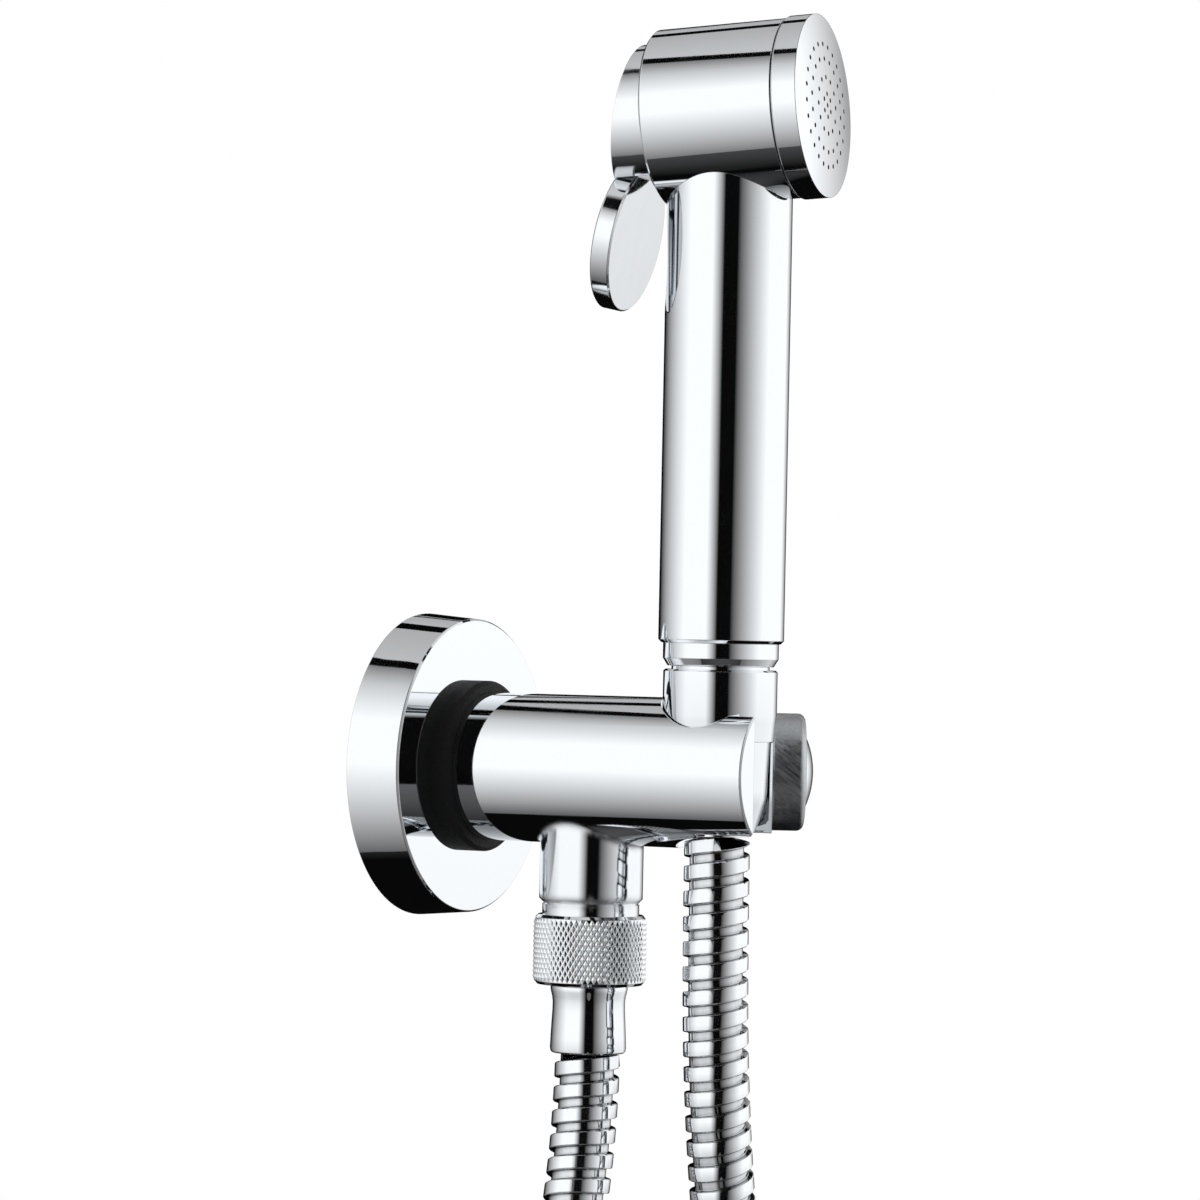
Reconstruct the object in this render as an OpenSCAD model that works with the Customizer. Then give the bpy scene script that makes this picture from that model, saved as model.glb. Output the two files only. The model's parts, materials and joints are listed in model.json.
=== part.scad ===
// Handheld bidet shower: a wall outlet elbow with a quarter-turn valve and a
// cradle, a spiral metal hose, and a handset with a thumb lever on its back.
// The origin is the centre of the flange where it meets the wall.
// +X points out of the wall along the arm, +Z points up.

/* [Flange] */
// Radius of the flange at its front edge
flange_r = 31.5; // [26:0.5:40]
// How much wider the flange is at the wall
flange_taper = 1; // [0:0.1:3]
// How far the flange stands off the wall
flange_depth = 12; // [8:0.5:20]
// Wall thickness of the flange
flange_wall = 2; // [1.2:0.1:3]
// Thickness of the black rubber ring round the arm
ring_wall = 2.5; // [1.7:0.1:4]
// Width of the rubber ring along the arm
ring_w = 4; // [2:0.5:6]

/* [Valve body] */
// Radius of the arm
arm_r = 15.8; // [15:0.1:18]
// Distance from the wall to the open end of the arm
arm_end = 85; // [84:0.5:92]
// Where the round of the arm begins, behind the flange's face
arm_start = 3; // [1:0.5:6]
// Radius over the thread of the inlet spigot, a G1/2 male thread
spigot_r = 10.48; // [9:0.01:12]
// Length of the inlet spigot behind the wall plane
spigot_l = 12; // [8:1:20]
// Radius of the inlet bore
inlet_bore_r = 5.5; // [4:0.1:6.5]
// Distance from the wall to the axis of the hose outlet
outlet_x = 41.5; // [39:0.5:45]
// Radius of the hose outlet's stem
outlet_r = 11; // [10.8:0.1:12]
// Height of the foot of that stem below the arm's axis
outlet_foot = 28.5; // [24:0.5:34]
// Radius over the outlet's G1/2 male thread
outlet_thread_r = 10.3; // [9.8:0.01:10.5]
// Length of the outlet's male thread
outlet_thread_l = 11; // [8:0.5:14]
// Radius of the outlet's bore
outlet_bore_r = 5; // [3:0.1:6]

/* [Cradle] */
// Distance from the wall to the axis of the cradle and the handset
cradle_x = 71.5; // [71:0.1:73]
// Height of the ledge on which the cone's shoulder rests
ledge_z = 6.7; // [4:0.1:9]
// Half width of the slot that lets the hose through the arm's end
slot_half = 9.8; // [8:0.1:10.5]
// Running clearance round the cone in its cradle
cradle_gap = 0.35; // [0.2:0.05:0.6]

/* [Stop valve] */
// Angle of the valve branch from the arm's axis
branch_turn = 30; // [28:1:33]
// Where the branch's axis meets the arm's axis
branch_x = 16; // [14:0.5:20]
// Outer radius of the branch
branch_r = 11; // [10:0.1:11.3]
// Length of the branch from the arm's axis to its mouth
branch_l = 53.5; // [52:0.5:57]
// Radius of the cartridge bore in the branch
cartridge_r = 7.5; // [6.5:0.1:8]
// Depth at which the cartridge bore ends, from the arm's axis
cartridge_floor = 13; // [12:0.5:15]
// Radius of the bonnet's visible barrel
bonnet_r = 10.4; // [9.5:0.1:11]
// Length of the bonnet's visible barrel
bonnet_l = 5; // [3:0.5:8]
// How far along the branch the arm's rear horn is milled off, from the arm's axis
horn_s = 59.7; // [57:0.1:62]
// Thickness of each ceramic disc
disc_t = 2.5; // [1.5:0.1:3.5]
// Radius of the valve's spindle
spindle_r = 3.5; // [2.5:0.1:4]
// Radius of the knob
knob_r = 12.6; // [11:0.1:14]
// Thickness of the knob
knob_t = 7.7; // [6:0.1:10]
// Rounding of the knob's outer edge
knob_round = 1.6; // [0.5:0.1:2.5]
// Radius of the domed cap on the knob
cap_r = 8.2; // [6:0.1:9.5]
// Height of that dome
cap_h = 1.9; // [1:0.1:3]

/* [Hose] */
// Radius of the hose over its spiral strip
hose_r = 7; // [6:0.1:8]
// Radius of the knurled nut
nut_r = 12.1; // [11.8:0.1:13.5]
// Height of the knurled nut
nut_l = 14.8; // [14:0.1:18]
// Gap between the outlet's foot and the knurled nut
nut_drop = 2.2; // [1:0.1:4]
// Length of the hose's ferrule
ferrule_l = 14.2; // [10:0.1:20]
// Radius of the ferrule
ferrule_r = 7.7; // [7.3:0.1:8.5]

/* [Cone nut] */
// Radius of the cone nut's upper barrel
cone_r = 12; // [11.6:0.1:12.2]
// Height of the cone nut's top edge
cone_top = 21.9; // [20:0.1:24]
// Radius just under its shoulder
cone_neck_r = 10.7; // [10.4:0.1:11]
// Radius of that shoulder, which rests on the ledge
cone_seat_r = 11.5; // [11.2:0.1:11.9]
// Height at which the barrel reaches its full radius
cone_swell_z = 12.5; // [10:0.5:16]
// Radius where the slow taper ends
cone_waist_r = 10.1; // [9:0.1:10.4]
// Radius of its lower end
cone_foot_r = 8; // [7.4:0.1:9]
// Height of its lower end
cone_foot_z = -12; // [-14:0.1:-11]

/* [Handset] */
// Turn of the handset about its own upright axis
handset_turn = 9.4; // [0:0.1:20]
// Radius of the handle
handle_r = 13.2; // [12.6:0.1:15]
// Height of the handle's lower edge
handle_foot = 27.4; // [27:0.1:30]
// Radius of the collar under the handle
collar_r = 12.15; // [11.5:0.05:12.5]
// Gap between that collar and the cone nut
collar_gap = 0.7; // [0.4:0.1:1.5]
// Radius of the handle's bore
handle_bore_r = 8.5; // [7:0.1:9.5]
// Height of the head's axis
head_z = 138.5; // [130:0.5:150]
// Upward tilt of the head's axis
head_tilt = 4; // [0:0.5:8]
// Radius of the head's barrel
head_r = 18.8; // [18.5:0.1:21]
// Length of the barrel behind the handle's axis
head_back = 14.4; // [13.8:0.1:16]
// Length of the barrel in front of the handle's axis
head_front = 14.4; // [13:0.1:17]
// Radius of the spray cap
face_r = 19.2; // [18.8:0.1:21.5]
// Depth of the spray cap
face_l = 6.4; // [5.5:0.1:8]
// Height of the spray face's low dome
face_dome = 1; // [0.5:0.1:2]
// Radius of one spray hole
jet_r = 0.45; // [0.3:0.05:0.7]

/* [Thumb lever] */
// Radius of the lever's upper disc
lever_top_r = 16; // [14.5:0.1:16.8]
// Thickness of that disc at the head's axis
lever_depth = 6.1; // [5.6:0.1:7]
// Slope of its outer face, which is thickest at the bend
lever_turn = 11; // [6:0.5:12]
// Radius of the thumb disc
lever_thumb_r = 15.3; // [14:0.1:16.5]
// Thickness of the thumb disc
lever_thumb_t = 4.3; // [3.6:0.1:5]
// Distance from the bend to the thumb disc's centre
lever_thumb_drop = 11.8; // [11:0.1:13]
// How far the bend lies below the head's axis
bend_drop = 12.5; // [12.2:0.1:13.4]
// Angle at which the thumb disc stands off
bend_turn = 15.8; // [13:0.1:20]
// Gap between the lever and the head's back
lever_gap = 0.3; // [0.3:0.05:0.6]
// Radius of the hinge pin
pin_r = 1.25; // [1:0.05:1.5]
// Radius of the pull stem
stem_r = 1.5; // [1.2:0.1:1.8]

/* [Fits] */
// Radial clearance of a shaft that turns in its bore
run_fit = 0.05; // [0.02:0.01:0.09]
// Radial clearance of a thread drawn as a plain cylinder
thread_fit = 0.1; // [0.05:0.01:0.2]
// Small gap between pieces that seat on each other
seat_gap = 0.05; // [0.02:0.01:0.1]

/* [Hidden] */
$fn = 96;

chrome = [0.82, 0.84, 0.86];
satin = [0.55, 0.57, 0.59];
brass = [0.75, 0.62, 0.35];
rubber = [0.08, 0.08, 0.08];
ceramic = [0.93, 0.92, 0.88];
steel = [0.68, 0.69, 0.7];

edge = 0.4;
ring_r = arm_r + ring_wall;

// Stop valve, measured along the branch from the arm's axis
seal_t = 1.5;
disc_r = cartridge_r - 0.4;
disc_1 = cartridge_floor + seal_t;
disc_2 = disc_1 + disc_t;
driver_s = disc_2 + disc_t;
driver_t = 2.5;
tang_w = 2.4;
tang_h = 1.2;
bonnet_thread_l = 12;
shoulder_s = branch_l - bonnet_thread_l;
washer_t = 0.8;
bonnet_s = branch_l + washer_t;
bonnet_end = bonnet_s + bonnet_l;
knob_s = bonnet_end + 0.5;
knob_end = knob_s + knob_t;
knob_pocket = 3.2;
cap_seat = 1.4;
spindle_end = knob_end - knob_pocket;
spindle_groove = branch_l - 4;
flat_in = 1;
oring_w = 1.6;
oring_d = 1.3;
oring_r = oring_d / 2 - 0.03;

// Outlet and hose end, as heights
thread_foot = -outlet_foot - outlet_thread_l;
nut_top = -outlet_foot - nut_drop;
nut_foot = nut_top - nut_l;
ferrule_top = nut_foot - 0.3;
ferrule_foot = ferrule_top - ferrule_l;
flange_foot = nut_foot + 1.8;
flange_t = 1.6;
hose_sides = 10;

// Cone nut and swivel tail
cone_shoulder = ledge_z + 0.3;
cone_waist_z = -5;
cone_thread_l = 11;
tail_neck_r = 4.8;
tail_foot_z = cone_foot_z - 1;
hose_hole_r = hose_r + 1.6;
tail_bore_r = 3.4;

// Handle tail, screwed up into the handle
collar_foot = cone_top + collar_gap;
tail_top = handle_foot + 12;
tail_groove = tail_top - 4;
male_foot = cone_top - cone_thread_l + 1;
tail_washer_t = 1.8;
tail_flange_r = outlet_thread_r - 0.9;
tail_flange_top = male_foot - tail_washer_t - seat_gap;
tail_flange_z = tail_flange_top - 2.5;

// Head, measured along its own axis from the handle's axis
chamber_back = -head_back + 7;
seat_x = 0.6;
seat_t = 4;
chamber_r = 13.5;
seat_bore_r = chamber_r + 2;
spigot_out_r = head_r - 1.6;
spigot_x = head_front + 3.2;
gland_r = 6.5;
spring_seat = -head_back + 2.6;
nozzle_r = 4;
lever_in = -head_back - lever_gap;
lever_face = lever_in - lever_depth;
fold_x = lever_face - bend_drop * tan(lever_turn);
lever_web = 3;
pin_x = -head_back + 2.2;
lug_r = 2.9;
lug_half = 3.4;
nut_play = 0.9;
stem_nut_r = 2.6;
stem_nut_t = 1.4;
lift = 2.2;
stem_back = lever_in - lever_web - nut_play - stem_nut_t;
scoop_depth = 2;
scoop_half = 13;
scoop_drop = 32;
stem_cup = -4;
washer_x = stem_cup + 1.5;
washer_end = seat_x - 1 - seat_gap;

// Rings of spray holes: how many, and at what radius
JETS = [[1, 0], [6, 2.4], [12, 5.9], [18, 9.8], [24, 12.9]];

// The hose's route: down from the outlet, 1.5 turns of coil, up to the cradle
coil_r = 76;
coil_turns = 1.5;
coil_x = 41.5;
coil_z = -262;
coil_pitch = 15;
coil_w = coil_pitch * coil_turns;
strap_t = 1.2;
strap_angle = 14;
DROP = [
    [41.5, 0, -60], [41.5, -0.6, -70], [41.5, -2.5, -84], [41.5, -7, -102],
    [41.5, -14, -122], [41.5, -24, -143], [41.5, -36, -164], [41.5, -49, -186],
    [41.5, -61, -209], [41.5, -71, -234], [41.5, -76, -262]
];
RISE = [
    [64, 76, -262], [64.5, 73, -237], [65.5, 65, -212], [66.5, 54, -189],
    [67.5, 42, -167], [68.5, 30, -145], [69.5, 19, -123], [70.5, 10, -100],
    [71, 4.5, -77], [71.3, 1.5, -55], [71.5, 0.3, -34], [71.5, 0, -13]
];

// A smooth point between b and c, with a and d as the outer neighbours
function curve(a, b, c, d, t) =
    0.5 * (2 * b + (c - a) * t + (2 * a - 5 * b + 4 * c - d) * t * t
    + (3 * b - a - 3 * c + d) * t * t * t);
function pick(list, i) =
    i < 0 ? 2 * list[0] - list[1]
    : i >= len(list) ? 2 * list[len(list) - 1] - list[len(list) - 2]
    : list[i];
function smooth(list, steps) = [
    for (i = [0:len(list) - 2]) for (k = [0:steps - 1])
        curve(pick(list, i - 1), list[i], list[i + 1], pick(list, i + 2), k / steps),
    list[len(list) - 1]
];
function unit(v) = v / norm(v);
function heading(path, i) =
    i == 0 || i == len(path) - 1 ? [0, 0, -sign(path[0][2] - path[len(path) - 1][2])]
    : unit(path[i + 1] - path[i - 1]);
// A ring of points round the path, squared to it, with x as one of its axes
function hoop(p, dir, r, n) =
    let (side = unit([1, 0, 0] - dir[0] * dir), up = cross(dir, side))
    [for (k = [0:n - 1]) p + r * (cos(360 * k / n) * side + sin(360 * k / n) * up)];

module tube(path, r, n) {
    m = len(path);
    points = [for (i = [0:m - 1]) each hoop(path[i], heading(path, i), r, n)];
    sides = [
        for (i = [0:m - 2]) for (k = [0:n - 1])
            [i * n + k, i * n + (k + 1) % n, (i + 1) * n + (k + 1) % n, (i + 1) * n + k]
    ];
    polyhedron(points, concat([for (f = sides) [f[3], f[2], f[1], f[0]]], [
        [for (k = [0:n - 1]) k], [for (k = [n - 1:-1:0]) (m - 1) * n + k]]));
}

// Turns a piece drawn along +Z so that it lies along +X
module along_x() rotate([0, 90, 0]) children();
// Places a piece drawn along +Z on the valve branch's axis
module on_branch() translate([branch_x, 0, 0]) rotate([0, 90, branch_turn]) children();
// Places a piece drawn in the handset's own frame
module on_handset() translate([cradle_x, 0, 0]) rotate([0, 0, handset_turn]) children();
// Places a piece drawn along the head's axis, with the handle's axis as zero
module on_head() on_handset() translate([0, 0, head_z]) rotate([0, -head_tilt, 0]) children();
// A cylinder from height a to height b
module rod(r, a, b) translate([0, 0, a]) cylinder(r = r, h = b - a);
// A ring from height a to height b
module band(r_out, r_in, a, b) difference() {
    rod(r_out, a, b);
    rod(r_in, a - 1, b + 1);
}
// A cone frustum from height a to height b
module taper(r_a, r_b, a, b) translate([0, 0, a]) cylinder(r1 = r_a, r2 = r_b, h = b - a);
// A cylinder with a small chamfer at both ends
module turned(r, a, b, c) {
    taper(r - c, r, a, a + c);
    rod(r, a + c, b - c);
    taper(r, r - c, b - c, b);
}
// An upright oblong: two round ends joined by a straight run
module oblong(r, run) {
    circle(r);
    translate([run, 0]) circle(r);
    translate([0, -r]) square([run, 2 * r]);
}
// A rubber ring of round section, sitting at height z
module o_ring(r_mid, r_sec, z) translate([0, 0, z]) rotate_extrude() translate([r_mid, 0]) circle(r_sec, $fn = 32);

module wall_flange() color(chrome) along_x() difference() {
    union() {
        taper(flange_r + flange_taper, flange_r, 0, flange_depth - edge);
        taper(flange_r, flange_r - edge, flange_depth - edge, flange_depth);
    }
    rod(flange_r - flange_wall, -1, flange_depth - flange_wall);
    rod(arm_r + thread_fit, -1, flange_depth + 1);
}

module flange_ring() color(rubber) along_x() difference() {
    union() {
        rod(ring_r, flange_depth, flange_depth + ring_w - 0.8);
        taper(ring_r, ring_r - 0.8, flange_depth + ring_w - 0.8, flange_depth + ring_w);
    }
    rod(arm_r + seat_gap, 0, flange_depth + ring_w + 1);
}

module cradle_hole() translate([cradle_x, 0, 0]) {
    rod(cone_r + cradle_gap, ledge_z, arm_r + 1);
    taper(cone_waist_r + cradle_gap, cone_neck_r + cradle_gap, cone_waist_z, ledge_z);
    taper(hose_hole_r, cone_waist_r + cradle_gap, cone_foot_z, cone_waist_z);
    rod(hose_hole_r, -arm_r - 1, cone_foot_z);
    translate([0, -slot_half, -arm_r - 1]) cube([arm_end, 2 * slot_half, 2 * arm_r + 2]);
}

module outlet_stem() translate([outlet_x, 0, 0]) {
    rod(outlet_r, -outlet_foot + 1.2, 0);
    taper(outlet_r - 1.2, outlet_r, -outlet_foot, -outlet_foot + 1.2);
    rod(outlet_thread_r, thread_foot, -outlet_foot);
}

module valve_body() color(chrome) difference() {
    union() {
        along_x() {
            rod(spigot_r, -spigot_l, arm_start);
            rod(arm_r, arm_start, arm_end - edge);
            taper(arm_r, arm_r - edge, arm_end - edge, arm_end);
        }
        outlet_stem();
        on_branch() {
            rod(branch_r, 0, branch_l - edge);
            taper(branch_r, branch_r - edge, branch_l - edge, branch_l);
        }
    }
    along_x() rod(inlet_bore_r, -spigot_l - 1, branch_x + 1);
    on_branch() {
        rod(outlet_bore_r - 0.5, 0, cartridge_floor + 1);
        rod(cartridge_r, cartridge_floor, branch_l + 1);
    }
    translate([outlet_x, 0, 0]) {
        rod(outlet_bore_r, thread_foot - 1, outlet_bore_r);
        rotate([-90, 0, 0]) rod(outlet_bore_r - 1, 0, (outlet_x - branch_x) * tan(branch_turn));
    }
    cradle_hole();
    milled_clear();
}

// What the mill takes off round the bonnet and the knob, and off the arm's rear horn
module milled_clear() on_branch() {
    rod(branch_r + edge, branch_l, knob_s);
    rod(knob_r + 2 * edge, knob_s - edge, knob_end + knob_r);
    translate([-arm_end, -arm_end, horn_s]) cube([2 * arm_end, 2 * arm_end, arm_end]);
}

module seat_seal() color(rubber) on_branch() {
    band(cartridge_r - 0.3, outlet_bore_r, cartridge_floor, disc_1);
}

// Half-round port through a ceramic disc
module port(a, b) intersection() {
    rod(disc_r - 2, a - 1, b + 1);
    translate([-disc_r, 0.8, a - 1]) cube([2 * disc_r, disc_r, b - a + 2]);
}

module fixed_disc() color(ceramic) on_branch() difference() {
    rod(disc_r, disc_1, disc_2 - seat_gap);
    port(disc_1, disc_2);
}

module moving_disc() color(ceramic) on_branch() difference() {
    rod(disc_r, disc_2, driver_s);
    port(disc_2, driver_s);
    translate([-disc_r, -tang_w / 2 - 2.4, driver_s - tang_h]) cube([2 * disc_r, tang_w, tang_h + 1]);
}

module valve_spindle() color(brass) on_branch() difference() {
    union() {
        difference() {
            rod(disc_r - 0.2, driver_s + seat_gap, driver_s + driver_t);
            port(driver_s, driver_s + driver_t);
        }
        translate([-disc_r + 2, -tang_w / 2 - 2.4 + seat_gap, driver_s - tang_h + seat_gap])
            cube([2 * disc_r - 4, tang_w - 2 * seat_gap, tang_h + 0.5]);
        rod(spindle_r, driver_s + driver_t - 0.1, spindle_end);
        rod(spindle_r + 1.2, shoulder_s - 2, shoulder_s - 0.3);
    }
    band(spindle_r + 1, spindle_r - oring_d, spindle_groove - oring_w, spindle_groove);
    rod(1.6, spindle_end - 9, spindle_end + 1);
    translate([spindle_r - flat_in, -spindle_r, knob_s]) cube([2, 2 * spindle_r, knob_t]);
}

module spindle_ring() color(rubber) on_branch() {
    o_ring(spindle_r - oring_d / 2 + 0.02, oring_r, spindle_groove - oring_w / 2);
}

module bonnet() color(chrome) on_branch() difference() {
    union() {
        rod(cartridge_r - thread_fit, shoulder_s, bonnet_s + 0.1);
        turned(bonnet_r, bonnet_s, bonnet_end, 0.6);
    }
    rod(spindle_r + run_fit, shoulder_s - 1, bonnet_end + 1);
}

module bonnet_seal() color(rubber) on_branch() {
    band(branch_r - 1, cartridge_r + 0.1, branch_l, bonnet_s);
}

module valve_knob() color(satin) on_branch() difference() {
    union() {
        taper(knob_r - 0.8, knob_r, knob_s, knob_s + 0.8);
        rod(knob_r, knob_s + 0.8, knob_end - knob_round);
        rod(knob_r - knob_round, knob_end - knob_round - 0.1, knob_end);
        translate([0, 0, knob_end - knob_round]) rotate_extrude() translate([knob_r - knob_round, 0])
            circle(knob_round, $fn = 64);
    }
    rod(cap_r, knob_end - cap_seat, knob_end + 1);
    rod(4.2, spindle_end, knob_end);
    difference() {
        rod(spindle_r + run_fit, knob_s - 1, spindle_end);
        translate([spindle_r - flat_in + run_fit, -spindle_r - 1, knob_s - 2])
            cube([3, 2 * spindle_r + 2, knob_t + 2]);
    }
    rod(1.8, knob_s, knob_end);
}

module knob_screw() color(steel) on_branch() difference() {
    union() {
        rod(3.6, spindle_end, knob_end - 1.6);
        rod(1.5, spindle_end - 8, spindle_end + 0.1);
    }
    translate([-0.45, -5, knob_end - 2.3]) cube([0.9, 10, 2]);
}

module knob_cap() color(chrome) on_branch() {
    dome_r = (cap_r * cap_r + cap_h * cap_h) / (2 * cap_h);
    rod(cap_r - 0.1, knob_end - cap_seat + seat_gap, knob_end);
    intersection() {
        rod(cap_r - 0.1, knob_end - 0.1, knob_end + cap_h);
        translate([0, 0, knob_end + cap_h - dome_r]) sphere(dome_r, $fn = 160);
    }
}

module hose_nut() color(chrome) translate([outlet_x, 0, 0]) difference() {
    turned(nut_r, nut_foot, nut_top, 1);
    rod(outlet_thread_r + thread_fit, flange_foot, nut_top + 1);
    rod(ferrule_r - 1.3, nut_foot - 1, nut_top);
}

module nut_washer() color(rubber) translate([outlet_x, 0, 0]) {
    band(outlet_thread_r - 0.6, outlet_bore_r, flange_foot + flange_t, thread_foot);
}

module hose_nipple() color(brass) translate([outlet_x, 0, 0]) difference() {
    union() {
        rod(outlet_thread_r - 0.4, flange_foot, flange_foot + flange_t);
        rod(ferrule_r - 1.6, ferrule_top, flange_foot + 0.1);
    }
    rod(tail_bore_r, ferrule_top - 1, flange_foot + 2);
}

module hose_ferrule() color(chrome) translate([outlet_x, 0, 0]) {
    difference() {
        union() {
            turned(ferrule_r + 0.5, ferrule_top - 3, ferrule_top, 0.4);
            rod(ferrule_r, ferrule_foot + 1, ferrule_top - 2.8);
            translate([0, 0, ferrule_foot + 1]) rotate_extrude() translate([ferrule_r - 1, 0]) circle(1, $fn = 32);
            rod(ferrule_r - 1, ferrule_foot, ferrule_foot + 1.2);
        }
        rod(tail_bore_r, ferrule_foot + 3, ferrule_top + 1);
    }
}

module hose_drop() color(steel) tube(smooth(DROP, 2), hose_r, hose_sides);

module hose_rise() color(steel) tube(smooth(RISE, 2), hose_r, hose_sides);

module coil_section() {
    for (k = [0, 1]) translate([coil_r, -k * coil_w]) circle(hose_r);
    translate([coil_r - hose_r, -coil_w]) square([2 * hose_r, coil_w]);
}

// Places a shape that is turned about the coil's own axis
module on_coil() translate([coil_x, 0, coil_z]) rotate([0, -90, 0]) children();

module hose_coil() color(steel) on_coil() rotate_extrude($fn = 96) coil_section();

// One strap round the bundled turns, at a given place on the coil
module strap(at) on_coil() rotate([0, 0, at]) rotate_extrude(angle = strap_angle, $fn = 96) difference() {
    translate([coil_r - hose_r - strap_t, -coil_w - hose_r - strap_t])
        square([2 * (hose_r + strap_t), coil_w + 2 * (hose_r + strap_t)]);
    coil_section();
}

module hose_ties() color(rubber) for (at = [0, 180]) strap(at - strap_angle / 2);

module swivel_tail() color(brass) translate([cradle_x, 0, 0]) difference() {
    union() {
        rod(tail_flange_r, tail_flange_z, tail_flange_top);
        rod(tail_neck_r, tail_foot_z, tail_flange_z + 0.1);
        rod(hose_r - 0.2, tail_foot_z, cone_foot_z - 0.3);
    }
    rod(tail_bore_r, tail_foot_z + 2, tail_flange_top + 1);
}

module tail_washer() color(rubber) translate([cradle_x, 0, 0]) {
    band(outlet_thread_r - 0.9, tail_bore_r + 1, male_foot - tail_washer_t, male_foot);
}

module cone_nut() color(chrome) translate([cradle_x, 0, 0]) difference() {
    union() {
        taper(cone_seat_r, cone_r, cone_shoulder, cone_swell_z);
        rod(cone_r, cone_swell_z, cone_top - edge);
        taper(cone_r, cone_r - edge, cone_top - edge, cone_top);
        taper(cone_waist_r, cone_neck_r, cone_waist_z, cone_shoulder);
        taper(cone_foot_r, cone_waist_r, cone_foot_z, cone_waist_z);
    }
    rod(outlet_thread_r + thread_fit, tail_flange_z - 0.1, cone_top + 1);
    rod(tail_neck_r + run_fit, cone_foot_z - 1, cone_top);
}

module handle_tail() color(chrome) on_handset() difference() {
    union() {
        rod(handle_bore_r - thread_fit, collar_foot + 1, tail_top);
        rod(collar_r, collar_foot + 1.6, handle_foot);
        taper(collar_r - 1, collar_r, collar_foot, collar_foot + 1.6);
        rod(outlet_thread_r, male_foot, collar_foot + 0.1);
    }
    rod(handle_bore_r - 3, male_foot - 1, tail_top + 1);
    band(handle_bore_r, handle_bore_r - oring_d, tail_groove, tail_groove + oring_w);
}

module tail_ring() color(rubber) on_handset() {
    o_ring(handle_bore_r - oring_d / 2, oring_r, tail_groove + oring_w / 2);
}

// The thumb scoop on the back of the handle, a shallow cut by a wide cylinder
module thumb_scoop() {
    scoop_r = (scoop_half * scoop_half + scoop_depth * scoop_depth) / (2 * scoop_depth);
    translate([-handle_r + scoop_depth - scoop_r, 0, head_z - scoop_drop]) rotate([90, 0, 0])
        cylinder(r = scoop_r, h = 3 * handle_r, center = true, $fn = 160);
}

module handset_body() color(chrome) difference() {
    union() {
        on_handset() {
            taper(handle_r - 0.7, handle_r, handle_foot, handle_foot + 0.7);
            rod(handle_r, handle_foot + 0.7, head_z);
        }
        on_head() along_x() {
            taper(head_r - 0.5, head_r, -head_back, -head_back + 0.5);
            rod(head_r, -head_back + 0.5, head_front);
            rod(spigot_out_r, head_front - 0.1, spigot_x);
        }
    }
    on_handset() {
        thumb_scoop();
        rod(handle_bore_r, handle_foot - 1, head_z - head_r - 8);
        translate([-4.2, 0, 0]) rod(3.2, head_z - head_r - 9, head_z - chamber_r + 3);
    }
    on_head() {
        along_x() {
            rod(chamber_r, chamber_back, spigot_x);
            rod(seat_bore_r, seat_x, spigot_x + 1);
            rod(gland_r, -head_back - 1, chamber_back + 1);
        }
        translate([-head_back - 1, -lug_half - 0.5, -bend_drop - lug_r - 0.6])
            cube([pin_x + head_back + lug_r + 1.6, 2 * lug_half + 1, 2 * lug_r + 1.2]);
        translate([pin_x, -9, -bend_drop]) rotate([-90, 0, 0]) cylinder(r = pin_r + 0.02, h = head_r + 9);
    }
}

module valve_seat() color(brass) on_head() along_x() difference() {
    union() {
        rod(seat_bore_r - 0.1, seat_x, seat_x + seat_t);
        rod(nozzle_r + 1.6, seat_x - 1, seat_x + 0.1);
    }
    rod(nozzle_r, seat_x - 2, seat_x + seat_t + 1);
    band(seat_bore_r + 1, seat_bore_r - oring_d, seat_x + 1.2, seat_x + 1.2 + oring_w);
}

module seat_ring() color(rubber) on_head() along_x() {
    o_ring(seat_bore_r - oring_d / 2, oring_r, seat_x + 1.2 + oring_w / 2);
}

module jets(a, b) for (ring = JETS) for (k = [0:ring[0] - 1])
    rotate([0, 0, 360 * k / ring[0]]) translate([ring[1], 0, a]) cylinder(r = jet_r, h = b - a, $fn = 16);

module spray_cap() color(chrome) on_head() along_x() {
    dome_r = (face_r * face_r + face_dome * face_dome) / (2 * face_dome);
    cap_a = head_front + 0.3;
    cap_b = cap_a + face_l;
    difference() {
        union() {
            taper(face_r - 0.3, face_r, cap_a, cap_a + 0.3);
            rod(face_r, cap_a + 0.3, cap_b - face_dome);
            intersection() {
                rod(face_r, cap_b - face_dome - 0.1, cap_b);
                translate([0, 0, cap_b - dome_r]) sphere(dome_r, $fn = 200);
            }
        }
        rod(spigot_out_r + thread_fit, cap_a - 1, spigot_x + 0.6);
        rod(seat_bore_r - 0.6, cap_a, cap_b - face_dome - 1.6);
        jets(cap_b - face_dome - 3, cap_b + 1);
    }
}

module spray_seal() color(rubber) on_head() along_x() {
    band(spigot_out_r - 0.3, seat_bore_r - 0.2, spigot_x, spigot_x + 0.6);
}

module stem_gland() color(brass) on_head() along_x() difference() {
    rod(gland_r - thread_fit, -head_back + 0.2, chamber_back);
    rod(stem_r + run_fit, -head_back - 1, chamber_back + 1);
    rod(gland_r - 1.6, spring_seat, chamber_back + 1);
    band(stem_r + oring_d, stem_r - 0.5, -head_back + 0.8, -head_back + 0.8 + 1.4);
}

module gland_ring() color(rubber) on_head() along_x() {
    o_ring(stem_r + oring_d / 2, oring_r, -head_back + 0.8 + 0.7);
}

module hinge_pin() color(steel) on_head() translate([pin_x, -8.8, -bend_drop]) rotate([-90, 0, 0])
    cylinder(r = pin_r, h = 8.8 + sqrt(head_r * head_r - (bend_drop + pin_r) * (bend_drop + pin_r)) - 0.4);

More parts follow.
